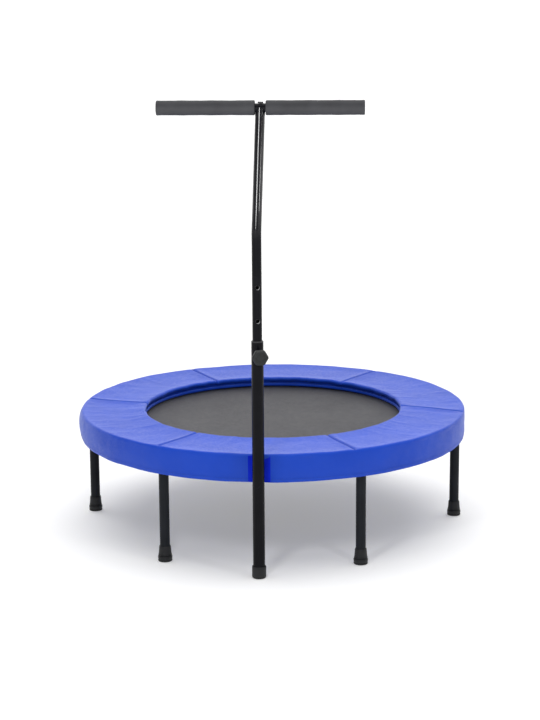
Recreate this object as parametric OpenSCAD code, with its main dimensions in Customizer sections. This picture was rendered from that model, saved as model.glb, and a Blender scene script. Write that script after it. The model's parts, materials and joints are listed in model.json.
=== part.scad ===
// Mini trampoline: a padded steel ring on six legs, with a T-bar handle on a post in front.
// The origin is on the floor under the middle of the mat. The post is on the -Y side.
// An azimuth is counted from the post, anticlockwise from above.

/* [Ring] */
// Diameter over the pad
pad_d = 1020; // [900:10:1300]
// From the pad's edge in to the ring's outer face
ring_inset = 12.5; // [10:0.5:20]
// Outer diameter of the ring's tube
ring_tube_d = 25; // [22:0.5:28]
// Wall of the ring's tube and of the leg tubes
tube_wall = 1.5; // [1:0.1:2.5]
// Height of the ring's centre line above the floor
ring_h = 268; // [220:1:400]
// Azimuth of the ring's first joint
ring_joint_at = 60; // [60:60:120]
// Half the length of a joining sleeve, along the ring
sleeve_half = 28; // [20:1:30]
// Diameter of the screws that hold a sleeve
sleeve_screw_d = 4.2; // [3:0.2:5]

/* [Legs] */
// Number of legs, the post not counted
leg_count = 6; // [6:1:6]
// Azimuth of the first leg
leg_at = 30; // [30:1:30]
// Outer diameter of a leg tube
leg_d = 25; // [22:0.5:28]
// How far a leg tube reaches up behind the skirt
leg_hidden = 8; // [4:1:16]
// Diameter of the stud that a leg screws onto
stud_d = 10; // [8:1:12]
// Length of the stud inside the leg
stud_l = 30; // [20:1:40]
// Height of a rubber foot
foot_h = 40; // [30:1:50]
// Diameter of the base of a foot
foot_d = 36; // [32:1:44]
// Height of the base of a foot
foot_base_h = 16; // [10:1:20]
// Rubber under a tube
foot_sole = 8; // [5:0.5:12]
// Rubber around a tube
foot_wall = 1.8; // [1.2:0.1:3]

/* [Pad] */
// Diameter of the opening in the pad
pad_opening_d = 680; // [600:10:720]
// Thickness of the pad over the ring
pad_thick = 17.5; // [14:0.5:24]
// How much lower the pad's top is at the opening
pad_fall = 2; // [0:0.5:4]
// Bevel of the pad's top edge at the opening
rim_bevel = 8; // [4:1:10]
// Height of the pad's outer side, from its top to the skirt's hem
skirt_drop = 70; // [55:1:80]
// Thickness of the skirt
skirt_t = 6; // [5:0.5:8]
// Thickness of the pad's inner wall
lip_t = 12; // [8:1:16]
// Thickness of the cover's fabric
cover_t = 1; // [0.8:0.1:1.4]
// Number of sewn panels
panel_count = 6; // [6:1:6]
// Azimuth of the front panel's seam on the left of the post
seam_front_left = -30; // [-34:0.5:-26]
// Azimuth of the front panel's seam on the right of the post
seam_front_right = 27; // [26:0.5:34]
// Azimuth of the seam on the right
seam_right = 88; // [84:0.5:94]
// Azimuth of the back panel's seam on the right
seam_back_right = 148.5; // [146:0.5:154]
// Azimuth of the back panel's seam on the left
seam_back_left = 211.5; // [206:0.5:214]
// Azimuth of the seam on the left
seam_left = 265.5; // [264:0.5:276]
// Diameter of the piping at the opening
piping_d = 4; // [3:0.5:5]
// Width of an elastic strap
strap_w = 20; // [15:1:30]
// Azimuth of the first strap
strap_at = 10; // [8:1:12]

/* [Mat] */
// Diameter of the mat over its hem
mat_d = 752; // [740:2:770]
// Thickness of the mat
mat_t = 1.5; // [1:0.1:2]
// Width of the hem
hem_w = 20; // [14:1:24]
// Thickness over the folded hem
hem_t = 4; // [3.4:0.2:4.4]
// Number of springs
spring_count = 36; // [24:12:36]
// Outer diameter of a spring
spring_d = 13; // [10:0.5:14]
// Thickness of the spring wire
spring_wire = 3.2; // [2:0.1:3.6]
// Thickness of the V-ring wire
vring_wire = 3.6; // [3:0.1:4]
// Width of a webbing tab
tab_w = 20; // [16:1:24]
// Thickness of the webbing
webbing_t = 1.1; // [0.8:0.1:1.4]

/* [Post] */
// Outer diameter of the post
post_d = 29; // [27.5:0.5:32]
// Wall of the post
post_wall = 1.5; // [1.2:0.1:1.8]
// Gap between the skirt and the post
post_gap = 11.5; // [9:0.5:16]
// Height of the post's top rim above the floor
post_h = 583; // [560:1:640]
// Height of the cap under the post
post_foot_h = 30; // [24:1:40]
// Width of the bracket between the ring and the post
bracket_w = 60; // [56:1:64]
// Thickness of the bracket's plate
bracket_t = 5; // [4:0.5:5.5]
// Width of the bracket's neck, which passes through the skirt
neck_w = 22; // [18:1:24]
// Diameter of the two bracket bolts
bracket_bolt_d = 8; // [6:1:8]
// Distance between the two bracket bolts
bracket_bolt_pitch = 38; // [36:1:40]
// Height of the lip of the bush at the post's top
bush_lip = 3; // [2:0.5:5]
// Length of the bush inside the post
bush_l = 70; // [60:1:90]

/* [Handle] */
// Height over the grips with the handle fully out
handle_h = 1140; // [1000:5:1300]
// Outer diameter of the handle tube
handle_d = 23; // [21:0.5:23]
// Wall of the handle tube
handle_wall = 1.5; // [1.2:0.1:2]
// Length of the handle tube inside the post
insert_l = 100; // [90:5:160]
// Height of the bend above the floor
bend_h = 835; // [800:5:880]
// Radius of the bend, on the tube's centre line
bend_r = 100; // [60:10:120]
// How far the tube leans in over the mat above its bend, in degrees
lean = 5.5; // [2:0.5:10]
// How far the handle is turned in the post, in degrees
handle_turn = -20; // [-30:1:30]
// How far the crossbar is turned back on top of the handle tube, in degrees
bar_turn = 21; // [-30:1:30]
// Distance between the height holes
hole_pitch = 80; // [60:5:90]
// Number of height holes
hole_count = 3; // [2:1:3]
// Outer diameter of a threaded insert
insert_d = 12; // [8:0.5:13]
// Length of the crossbar over its end caps
bar_l = 480; // [400:10:560]
// Outer diameter of the crossbar
bar_d = 20; // [18:0.5:22]
// Wall of the crossbar
bar_wall = 1.5; // [1.2:0.1:2]
// Outer diameter of a foam grip
grip_d = 34; // [30:1:38]
// Gap between the grips
grip_gap = 25; // [24:1:40]
// Diameter of the crossbar bolt
bar_bolt_d = 6; // [5:1:6]

/* [Clamp] */
// Height of the clamp screw above the floor
clamp_h = 550; // [540:1:556]
// Azimuth of the clamp screw, about the post
clamp_at = 14; // [0:1:20]
// Diameter of the clamp screw
clamp_screw_d = 8; // [6:1:8]
// Length of the threaded boss on the post
boss_l = 9; // [7:0.5:12]
// Diameter of the threaded boss
boss_d = 16; // [14:0.5:18]
// Width of the knob over its corners
knob_d = 40; // [34:1:44]
// Thickness of the knob's head
knob_t = 16; // [12:1:22]
// Length of the knob's neck
knob_neck = 6; // [4:0.5:10]

/* [Hidden] */
$fn = 96;
// Clearance between parts that are seated or sewn
seat = 0.3;
// Clearance of a weld, and of faces that press together
weld = 0.1;
// Radial clearance of a thread or a running fit
run = 0.06;
// How much wider than a bolt its plain hole is
bolt_clear = 0.4;
// Length of a cut that goes right through a piece
through = 60;
// How far a cut starts or ends clear of the face it opens
clear = 1;

pad_r = pad_d / 2;
open_r = pad_opening_d / 2;
ring_r = pad_r - ring_inset - ring_tube_d / 2;
ring_tube_r = ring_tube_d / 2;
strap_room = 2;
under_h = ring_h + ring_tube_r + strap_room;
pad_h = under_h + pad_thick;
hem_h = pad_h - skirt_drop;
lip_h = ring_h + hem_t / 2 + 2;
// How far the slot for the bracket's neck is cut past the skirt on both sides
neck_clear = 4;

seams = [
    seam_front_left, seam_front_right, seam_right,
    seam_back_right, seam_back_left, seam_left, seam_front_left + 360
];
strap_step = 360 / panel_count;
strap_t = 1.2;
seam_deg = atan(seat / ring_r);
cap_deg = atan(cover_t / open_r);

leg_r = ring_r;
leg_step = 360 / leg_count;
leg_top = hem_h + leg_hidden;
leg_boss_d = leg_d - 2 * tube_wall;
leg_boss_top = ring_h - 8;
foot_bevel = 1.5;
foot_collar = 1.6;
cap_wall = 2.6;
cap_bevel = 1;
sole_bevel = 3;

mat_r = mat_d / 2;
hem_fold = 1.5;
// How far a tab starts from the hem's inner edge, and how far it reaches past the mat
tab_in = 2;
tab_reach = 9;
vring_bar_r = mat_r + 4.5;
vring_half = tab_w / 2 + 8;
vring_depth = 18;
vring_side = norm([vring_half, vring_depth]);
vring_tip_r = vring_bar_r + vring_depth + vring_wire / 2 * vring_side / vring_half;
hook_gap = 0.5;
// Length of a spring's straight end, and how far its hook goes in past the ring's face
spring_end = 10;
hook_in = 3;
spring_in_r = vring_tip_r + spring_end;
spring_out_r = ring_r - ring_tube_r - spring_end;
hook_hole_d = spring_wire + 1;
spring_step = 360 / spring_count;

post_r = post_d / 2;
post_at = pad_r + post_gap + post_r;
post_in_r = post_r - post_wall;
handle_r = handle_d / 2;
handle_in_r = handle_r - handle_wall;
handle_foot = post_h - insert_l;
plate_in = ring_r + ring_tube_r + weld;
plate_out = plate_in + bracket_t;
bracket_h = ring_tube_d - 1;
washer_t = 1.5;
bolt_head = 5;
bush_bevel = 1;
screw_head = 2.4;
screw_reach = 5;
// How far the ring's inner face bows out of line under the far edge of a washer
washer_edge = bracket_bolt_pitch / 2 + bracket_bolt_d;
ring_inner_r = ring_r - ring_tube_r;
washer_back = ring_tube_r + ring_inner_r - sqrt(ring_inner_r ^ 2 - washer_edge ^ 2) + weld;

bar_r = bar_d / 2;
bar_h = handle_h - grip_d / 2;
bend_rise = bend_r * sin(lean);
bend_out = bend_r * (1 - cos(lean));
// The bend laps over the straight tube at both ends, in degrees, and is a little thicker there
bend_lap = 1;
bend_swell = 0.05;
lean_l = (bar_h - bend_h - bend_rise) / cos(lean);
bar_out = bend_out + lean_l * sin(lean);
bar_bolt_head = 3.4;
bar_bolt_head_d = 2.1 * bar_bolt_d;
// How much of the crossbar bolt is left out of the end of the plug
bar_bolt_short = 4;
top_plug_l = 25;
bar_cap_t = 2;
bar_cap_in = 12;
glide_t = 2.5;
glide_in = 15;
insert_t = 1.3;
insert_in = 4;

boss_in = sqrt(post_r * post_r - boss_d * boss_d / 4) - 0.5;
boss_out = post_r + boss_l;
knob_gap = 0.8;
knob_neck_d = boss_d + 2;
knob_in = boss_out + knob_gap;
// The hexagon's corners are cut by the knob's round
knob_hex_d = 1.09 * knob_d;
clamp_tip = handle_r + seat;
// The screw's plain end, and how far the screw goes into the knob's head
dog_l = 4;
dog_step = 1.2;
screw_in_knob = 8;
screw_end = knob_in + knob_neck + screw_in_knob;

steel = [0.09, 0.09, 0.10];
zinc = [0.70, 0.71, 0.73];
blue = [0.13, 0.25, 0.75];
black = [0.06, 0.06, 0.07];

// ---- placing ----

// Children at an azimuth and a radius, with +X pointing away from the ring's axis
module at(azimuth, r = 0) {
    rotate([0, 0, azimuth - 90]) translate([r, 0, 0]) children();
}

// Children at the post, with +X pointing away from the post at an azimuth about it
module at_post(azimuth = 0) {
    translate([0, -post_at, 0]) rotate([0, 0, azimuth - 90]) children();
}

// Children along +X, made from a shape that stands on the XY plane
module along_x() {
    rotate([0, 90, 0]) children();
}

// A stretch of the ring's circle, from one azimuth over an angle, of a 2D section
module arc(from, angle) {
    rotate([0, 0, from - 90]) rotate_extrude(angle = angle) children();
}

module tube(d, wall, h) {
    difference() {
        cylinder(d = d, h = h);
        translate([0, 0, -1]) cylinder(d = d - 2 * wall, h = h + 2);
    }
}

// ---- ring ----

module ring_half(from) {
    half_joint = atan(weld / 2 / ring_r);
    difference() {
        arc(from + half_joint, 180 - 2 * half_joint) translate([ring_r, ring_h]) difference() {
            circle(r = ring_tube_r);
            circle(r = ring_tube_r - tube_wall);
        }
        spring_holes();
        bracket_bolt_holes();
        sleeve_screw_holes();
    }
}

module spring_holes() {
    for (i = [0 : spring_count - 1])
        at((i + 0.5) * spring_step, ring_r - ring_tube_r - clear)
            translate([0, 0, ring_h]) along_x()
                cylinder(d = hook_hole_d, h = clear + hook_in + tube_wall + clear, $fn = 24);
}

module at_bracket_bolts() {
    for (side = [-1, 1])
        at(0, ring_r) translate([0, side * bracket_bolt_pitch / 2, ring_h]) along_x() children();
}

module bracket_bolt_holes() {
    at_bracket_bolts() cylinder(d = bracket_bolt_d + bolt_clear, h = through, center = true, $fn = 32);
}

module at_sleeve_screws() {
    for (joint = [0, 180], side = [-1, 1])
        at(ring_joint_at + joint + side * sleeve_half / 2 / ring_r * 180 / PI, ring_r)
            translate([0, 0, ring_h - ring_tube_r]) children();
}

module sleeve_screw_holes() {
    at_sleeve_screws() translate([0, 0, -clear])
        cylinder(d = sleeve_screw_d + 2 * run, h = screw_reach + 2 * clear, $fn = 24);
}

module ring_sleeves() {
    color(steel) difference() {
        for (joint = [0, 180]) {
            reach = sleeve_half / ring_r * 180 / PI;
            arc(ring_joint_at + joint - reach, 2 * reach) translate([ring_r, ring_h]) difference() {
                circle(r = ring_tube_r - tube_wall - seat);
                circle(r = ring_tube_r - 2 * tube_wall - seat);
            }
        }
        sleeve_screw_holes();
    }
}

module ring_screws() {
    color(zinc) at_sleeve_screws() {
        translate([0, 0, -screw_head - weld]) cylinder(d = 2 * sleeve_screw_d, h = screw_head, $fn = 32);
        translate([0, 0, -screw_head]) cylinder(d = sleeve_screw_d, h = screw_head + screw_reach, $fn = 24);
    }
}

// ---- legs ----

module at_leg(i) {
    at(leg_at + (i - 1) * leg_step, leg_r) children();
}

module leg_bosses() {
    color(steel) difference() {
        for (i = [1 : leg_count]) at_leg(i) {
            translate([0, 0, leg_top + weld]) cylinder(d = leg_boss_d, h = leg_boss_top - leg_top);
            translate([0, 0, leg_top - stud_l])
                cylinder(d = stud_d, h = leg_boss_top - leg_top + stud_l, $fn = 48);
        }
        arc(0, 360) translate([ring_r, ring_h]) circle(r = ring_tube_r + weld);
    }
}

module leg(i) {
    color(steel) at_leg(i) translate([0, 0, foot_sole + seat])
        tube(leg_d, tube_wall, leg_top - foot_sole - seat);
}

module leg_plugs() {
    color(black) for (i = [1 : leg_count])
        at_leg(i) translate([0, 0, leg_top - stud_l]) difference() {
            cylinder(r = leg_d / 2 - tube_wall - weld, h = stud_l - weld);
            translate([0, 0, -clear]) cylinder(d = stud_d + 2 * run, h = stud_l + 2 * clear, $fn = 48);
        }
}

module foot(i) {
    bore_r = leg_d / 2 + weld;
    top_r = bore_r + foot_wall;
    color(black) at_leg(i) rotate_extrude() polygon([
        [0, 0],
        [foot_d / 2 - foot_bevel, 0],
        [foot_d / 2, foot_bevel],
        [foot_d / 2, foot_base_h - foot_bevel],
        [foot_d / 2 - foot_bevel, foot_base_h],
        [top_r + foot_collar, foot_base_h + foot_collar],
        [top_r, foot_h],
        [bore_r, foot_h],
        [bore_r, foot_sole],
        [0, foot_sole]
    ]);
}

// ---- mat ----

module mat() {
    color(black) translate([0, 0, ring_h - mat_t / 2])
        cylinder(r = mat_r - hem_fold - seat, h = mat_t, $fn = 180);
}

module mat_hem() {
    slot = mat_t + 2 * seat;
    color(black) rotate_extrude($fn = 180) difference() {
        translate([mat_r - hem_w, ring_h - hem_t / 2]) square([hem_w, hem_t]);
        translate([mat_r - hem_w - clear, ring_h - slot / 2]) square([hem_w + clear - hem_fold, slot]);
    }
}

module mat_tabs() {
    inside = hem_t + 2 * seat;
    outside = inside + 2 * webbing_t;
    color(black) for (i = [0 : spring_count - 1])
        at((i + 0.5) * spring_step, mat_r - hem_w + tab_in) difference() {
            translate([0, -tab_w / 2, ring_h - outside / 2])
                cube([hem_w - tab_in + tab_reach, tab_w, outside]);
            translate([-clear, -tab_w, ring_h - inside / 2])
                cube([clear + hem_w - tab_in + tab_reach - webbing_t, 2 * tab_w, inside]);
        }
}

module v_rings() {
    color(zinc) for (i = [0 : spring_count - 1])
        at((i + 0.5) * spring_step, vring_bar_r)
            translate([0, 0, ring_h - vring_wire / 2]) linear_extrude(vring_wire) difference() {
                v_outline(vring_wire / 2);
                v_outline(-vring_wire / 2);
            }
}

// The V-ring's triangle, grown by a margin on every side
module v_outline(margin) {
    spread = margin * (vring_side + vring_half) / vring_depth;
    polygon([
        [-margin, -vring_half - spread],
        [-margin, vring_half + spread],
        [vring_depth + margin * vring_side / vring_half, 0]
    ]);
}

module springs() {
    inner_hook = vring_tip_r + hook_gap;
    outer_hook = ring_r - ring_tube_r + tube_wall + hook_in;
    color(zinc) for (i = [0 : spring_count - 1])
        at((i + 0.5) * spring_step) translate([0, 0, ring_h]) {
            translate([spring_in_r, 0, 0]) along_x()
                cylinder(d = spring_d, h = spring_out_r - spring_in_r, $fn = 32);
            translate([inner_hook, 0, 0]) along_x()
                cylinder(d = spring_wire, h = outer_hook - inner_hook, $fn = 24);
        }
}

// ---- pad ----

// The pad's section, drawn in from its outer face by an inset
module pad_section(inset) {
    rim_h = pad_h - pad_fall;
    bevel_shift = inset * (sqrt(2) - 1);
    polygon([
        [pad_r - inset, hem_h + inset],
        [pad_r - inset, pad_h - inset],
        [open_r + rim_bevel + bevel_shift, rim_h - inset],
        [open_r + inset, rim_h - rim_bevel - bevel_shift],
        [open_r + inset, lip_h + inset],
        [open_r + lip_t - inset, lip_h + inset],
        [open_r + lip_t - inset, under_h + inset],
        [pad_r - skirt_t + inset, under_h + inset],
        [pad_r - skirt_t + inset, hem_h + inset]
    ]);
}

// The way through the skirt for the bracket's neck, made wider by a margin
module neck_slot(margin) {
    width = neck_w + 2 * seat + 2 * margin;
    top = under_h + margin;
    at(0, pad_r - skirt_t - neck_clear) translate([0, -width / 2, hem_h - clear])
        cube([skirt_t + 2 * neck_clear, width, top - hem_h + clear]);
}

module panel(i) {
    from = seams[i - 1] + seam_deg / 2;
    across = seams[i] - seams[i - 1] - seam_deg;
    color(blue) difference() {
        arc(from, across) pad_section(0);
        difference() {
            arc(from + cap_deg, across - 2 * cap_deg) pad_section(cover_t);
            if (i == 1) neck_slot(cover_t);
        }
        if (i == 1) neck_slot(0);
    }
}

module pad_foam() {
    end_deg = seam_deg / 2 + cap_deg + atan(seat / open_r);
    color([0.8, 0.8, 0.78]) difference() {
        for (i = [1 : panel_count])
            arc(seams[i - 1] + end_deg, seams[i] - seams[i - 1] - 2 * end_deg)
                pad_section(cover_t + seat);
        neck_slot(cover_t + seat);
    }
}

module pad_piping() {
    color(blue) rotate_extrude($fn = 180)
        translate([open_r - piping_d / 2 - seat, lip_h + piping_d / 2 + seat])
            circle(d = piping_d, $fn = 32);
}

module pad_straps() {
    inner = ring_tube_r + seat;
    color(black) for (i = [1 : panel_count])
        at((i - 1) * strap_step + strap_at, ring_r)
            translate([0, strap_w / 2, ring_h]) rotate([90, 0, 0])
                tube(2 * (inner + strap_t), strap_t, strap_w);
}

// ---- post ----

module post() {
    color(steel) difference() {
        at_post() translate([0, 0, foot_sole + seat])
            tube(post_d, post_wall, post_h - bush_lip - foot_sole - 2 * seat);
        at_post(clamp_at) translate([0, 0, clamp_h]) along_x()
            cylinder(d = clamp_screw_d + 2 * bolt_clear, h = post_d, $fn = 32);
    }
}

module post_cap() {
    bore_r = post_r + weld;
    cap_r = bore_r + cap_wall;
    color(black) at_post() rotate_extrude() polygon([
        [0, 0],
        [cap_r - sole_bevel, 0],
        [cap_r - cap_bevel, cap_bevel],
        [cap_r, sole_bevel],
        [cap_r, post_foot_h - cap_bevel],
        [cap_r - cap_bevel, post_foot_h],
        [bore_r, post_foot_h],
        [bore_r, foot_sole],
        [0, foot_sole]
    ]);
}

module post_bush() {
    color(black) difference() {
        at_post() rotate_extrude() polygon([
            [handle_r + run, post_h - bush_l],
            [post_in_r - weld, post_h - bush_l],
            [post_in_r - weld, post_h - bush_lip],
            [post_r, post_h - bush_lip],
            [post_r, post_h - bush_bevel],
            [post_r - bush_bevel, post_h],
            [handle_r + run, post_h]
        ]);
        at_post(clamp_at) translate([0, 0, clamp_h]) along_x()
            cylinder(d = clamp_screw_d + 2 * bolt_clear, h = post_d, $fn = 32);
    }
}

module post_bracket() {
    color(steel) difference() {
        at(0) {
            translate([plate_in, -bracket_w / 2, ring_h - bracket_h / 2])
                cube([bracket_t, bracket_w, bracket_h]);
            translate([plate_in + clear, -neck_w / 2, ring_h - bracket_h / 2])
                cube([post_at - plate_in, neck_w, bracket_h]);
        }
        at_post() cylinder(r = post_r + weld, h = post_h);
        at_bracket_bolts() cylinder(d = bracket_bolt_d + 2 * run, h = through, $fn = 32);
    }
}

module bracket_washers() {
    color(zinc) at_bracket_bolts() translate([0, 0, -washer_back - washer_t])
        difference() {
            cylinder(d = 2 * bracket_bolt_d, h = washer_t, $fn = 48);
            translate([0, 0, -clear])
                cylinder(d = bracket_bolt_d + bolt_clear, h = washer_t + 2 * clear, $fn = 32);
        }
}

module bracket_bolts() {
    back = washer_back + washer_t + weld;
    color(zinc) at_bracket_bolts() {
        translate([0, 0, -back - bolt_head])
            cylinder(d = 1.8 * bracket_bolt_d, h = bolt_head, $fn = 6);
        translate([0, 0, -back]) cylinder(d = bracket_bolt_d, h = back + plate_out - ring_r, $fn = 32);
    }
}

// ---- clamp ----

module at_clamp() {
    at_post(clamp_at) translate([0, 0, clamp_h]) children();
}

module clamp_boss() {
    color(steel) at_clamp() difference() {
        translate([boss_in, 0, 0]) along_x() cylinder(d = boss_d, h = boss_out - boss_in, $fn = 48);
        along_x() cylinder(d = clamp_screw_d + 2 * run, h = 2 * boss_out, $fn = 32);
        cylinder(r = post_r + weld, h = 2 * boss_d, center = true);
    }
}

module clamp_screw() {
    color(zinc) at_clamp() {
        translate([clamp_tip, 0, 0]) along_x()
            cylinder(d = clamp_screw_d - 2 * dog_step, h = dog_l + clear, $fn = 32);
        translate([clamp_tip + dog_l, 0, 0]) along_x()
            cylinder(d = clamp_screw_d, h = screw_end - clamp_tip - dog_l, $fn = 32);
    }
}

module clamp_knob() {
    head_in = knob_in + knob_neck;
    color(black) at_clamp() difference() {
        union() {
            translate([knob_in, 0, 0]) along_x() cylinder(d = knob_neck_d, h = knob_neck + clear, $fn = 48);
            translate([head_in, 0, 0]) along_x() intersection() {
                cylinder(d = knob_d, h = knob_t);
                rotate([0, 0, 90]) cylinder(d = knob_hex_d, h = knob_t, $fn = 6);
            }
        }
        translate([knob_in - clear, 0, 0]) along_x()
            cylinder(d = clamp_screw_d + 2 * run, h = screw_end + run - knob_in + clear, $fn = 32);
    }
}

// ---- handle ----

// Children at the handle, with +X leaning in over the mat above the bend
module at_handle() {
    translate([0, -post_at, 0]) rotate([0, 0, 90 + handle_turn]) children();
}

// Children at the middle of the crossbar, which is level and along Y
module at_bar() {
    at_handle() translate([bar_out, 0, bar_h]) rotate([0, 0, bar_turn]) children();
}

// Children at the middle of the crossbar, with +Z along the leaning tube below it
module at_top() {
    at_handle() translate([bar_out, 0, bar_h]) rotate([0, lean, 0]) children();
}

// A solid rod along the handle's route
module handle_rod(r) {
    at_handle() {
        translate([0, 0, handle_foot]) cylinder(r = r, h = bend_h - handle_foot);
        translate([0, 0, bend_h]) {
            translate([bend_r, 0, 0]) rotate([90, 0, 0]) mirror([1, 0, 0])
                rotate([0, 0, -bend_lap]) rotate_extrude(angle = lean + 2 * bend_lap)
                    translate([bend_r, 0]) circle(r = r + bend_swell);
            translate([bend_out, 0, bend_rise]) rotate([0, lean, 0]) cylinder(r = r, h = lean_l);
        }
    }
}

module at_height_holes() {
    for (k = [0 : hole_count - 1])
        at_post(clamp_at) translate([0, 0, clamp_h + k * hole_pitch]) along_x() children();
}

module handle_tube() {
    color(steel) difference() {
        handle_rod(handle_r);
        translate([0, 0, -clear]) handle_rod(handle_in_r);
        at_height_holes() cylinder(d = insert_d + 2 * run, h = handle_d, $fn = 48);
        at_bar() rotate([90, 0, 0]) cylinder(r = bar_r + weld, h = through, center = true);
    }
}

module height_inserts() {
    color(zinc) intersection() {
        at_height_holes() difference() {
            translate([0, 0, handle_in_r - insert_in])
                cylinder(d = insert_d, h = insert_in + 2 * handle_wall, $fn = 48);
            cylinder(d = insert_d - 2 * insert_t, h = handle_d, $fn = 32);
        }
        at_post() cylinder(r = handle_r - weld, h = handle_h);
    }
}

module handle_glide() {
    color(black) at_handle() translate([0, 0, handle_foot]) {
        translate([0, 0, -glide_t]) cylinder(r = handle_r - weld, h = glide_t - weld);
        translate([0, 0, -glide_t]) cylinder(r = handle_in_r - weld, h = glide_t + glide_in);
    }
}

module handle_top_plug() {
    color(zinc) difference() {
        at_top() difference() {
            translate([0, 0, -bar_r - weld - top_plug_l]) cylinder(r = handle_in_r - weld, h = top_plug_l);
            rotate([180, 0, 0]) cylinder(d = bar_bolt_d + 2 * run, h = through, $fn = 32);
        }
        at_bar() rotate([90, 0, 0]) cylinder(r = bar_r + weld, h = through, center = true);
    }
}

module crossbar() {
    color(steel) difference() {
        at_bar() rotate([90, 0, 0]) translate([0, 0, bar_cap_t - bar_l / 2])
            tube(bar_d, bar_wall, bar_l - 2 * bar_cap_t);
        at_top() cylinder(d = bar_bolt_d + bolt_clear, h = 2 * bar_d, center = true, $fn = 32);
    }
}

module crossbar_bolt() {
    color(zinc) at_top() {
        translate([0, 0, bar_r + seat]) cylinder(d = bar_bolt_head_d, h = bar_bolt_head, $fn = 48);
        translate([0, 0, bar_bolt_short - top_plug_l - bar_r])
            cylinder(d = bar_bolt_d, h = bar_d + top_plug_l - bar_bolt_short + clear, $fn = 32);
    }
}

module crossbar_caps() {
    color(black) at_bar() for (side = [0, 180])
        rotate([90, 0, side]) translate([0, 0, bar_l / 2 - bar_cap_t + weld]) {
            cylinder(r = bar_r - weld, h = bar_cap_t - weld);
            translate([0, 0, -bar_cap_in])
                cylinder(r = bar_r - bar_wall - weld, h = bar_cap_in + clear);
        }
}

module grip(side) {
    color(black) at_bar() rotate([90, 0, side]) translate([0, 0, grip_gap / 2])
        tube(grip_d, (grip_d - bar_d) / 2 - seat, bar_l / 2 - grip_gap / 2);
}

color(steel) ring_half(ring_joint_at + 180);  // ring_front
color(steel) ring_half(ring_joint_at);  // ring_rear
ring_sleeves();
ring_screws();
leg_bosses();
for (i = [1 : leg_count]) {
    leg(i);
    foot(i);
}
leg_plugs();
mat();
mat_hem();
mat_tabs();
v_rings();
springs();
for (i = [1 : panel_count])
    panel(i);
pad_foam();
pad_piping();
pad_straps();
post();
post_cap();
post_bush();
post_bracket();
bracket_bolts();
bracket_washers();
clamp_boss();
clamp_screw();
clamp_knob();
handle_tube();
height_inserts();
handle_glide();
handle_top_plug();
crossbar();
crossbar_caps();
crossbar_bolt();
grip(180);  // grip_left
grip(0);  // grip_right
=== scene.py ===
"""Looks of the mini trampoline: sewn cover, mat, springs, rubber, foam and painted steel."""
import json
import math

import bmesh
import bpy
import numpy as np
from mathutils import Matrix, Vector, noise

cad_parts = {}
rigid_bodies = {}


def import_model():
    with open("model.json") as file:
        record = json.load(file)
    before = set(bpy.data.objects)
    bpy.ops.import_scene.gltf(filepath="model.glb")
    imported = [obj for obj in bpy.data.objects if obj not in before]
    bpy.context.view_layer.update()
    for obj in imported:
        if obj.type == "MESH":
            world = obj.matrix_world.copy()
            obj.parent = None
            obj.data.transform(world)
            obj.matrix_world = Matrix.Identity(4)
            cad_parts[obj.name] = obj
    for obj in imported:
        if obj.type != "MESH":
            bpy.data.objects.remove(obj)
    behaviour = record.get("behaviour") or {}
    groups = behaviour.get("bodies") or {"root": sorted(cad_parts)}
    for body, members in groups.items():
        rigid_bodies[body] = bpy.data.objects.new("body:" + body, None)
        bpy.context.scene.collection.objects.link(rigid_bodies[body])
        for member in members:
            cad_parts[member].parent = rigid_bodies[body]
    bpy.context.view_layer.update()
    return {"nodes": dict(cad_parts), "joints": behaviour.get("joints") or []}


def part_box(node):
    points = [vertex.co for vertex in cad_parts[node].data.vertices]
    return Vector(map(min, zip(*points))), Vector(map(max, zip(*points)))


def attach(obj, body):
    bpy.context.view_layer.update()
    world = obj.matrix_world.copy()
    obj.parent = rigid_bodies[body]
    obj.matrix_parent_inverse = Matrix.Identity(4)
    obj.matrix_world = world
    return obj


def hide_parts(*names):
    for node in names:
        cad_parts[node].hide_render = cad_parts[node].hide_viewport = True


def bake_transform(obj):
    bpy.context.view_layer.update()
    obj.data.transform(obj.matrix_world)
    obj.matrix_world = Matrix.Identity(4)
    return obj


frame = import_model()

# ---- places and sizes, from the frame (metres) ----

MAT_LO, MAT_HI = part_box("mat")
HEM_LO, HEM_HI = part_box("mat_hem")
_, PIPING_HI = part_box("pad_piping")
PAD_LO, PAD_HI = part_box("panel_2")
RING_LO, RING_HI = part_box("ring_rear")
POST_LO, POST_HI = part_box("post")

MAT_Z = (MAT_LO.z + MAT_HI.z) / 2
HEM_R = HEM_HI.x
OPEN_R = PIPING_HI.x
PAD_R = PAD_HI.x
PAD_TOP = PAD_HI.z
PAD_HEM = PAD_LO.z
RING_TUBE_R = (RING_HI.z - RING_LO.z) / 2
RING_Z = (RING_HI.z + RING_LO.z) / 2
RING_R = (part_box("leg_2")[0].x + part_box("leg_2")[1].x) / 2
POST_Y = (POST_LO.y + POST_HI.y) / 2
POST_R = (POST_HI.x - POST_LO.x) / 2
PAD_UNDER = RING_HI.z + 0.002
PAD_FALL = 0.002

# azimuths are in degrees from the post, turning towards +X
SEAMS = [-30, 27, 88, 148.5, 211.5, 265.5, 330]
PANELS = 6
STRAP_FIRST = 10
SPRINGS = 36
LEGS = [f"leg_{i}" for i in range(1, 7)]
FEET = [f"foot_{i}" for i in range(1, 7)]

# ---- camera: the photograph's viewing angle ----

CAMERA_AZIMUTH = 3.9
CAMERA_PITCH = 12.154
CAMERA_ROLL = -0.387
CAMERA_BACK = 4.6204
CAMERA_HEIGHT = 1.4163
CAMERA_SIDE = -0.007
CAMERA_LENS = 88.96


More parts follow.
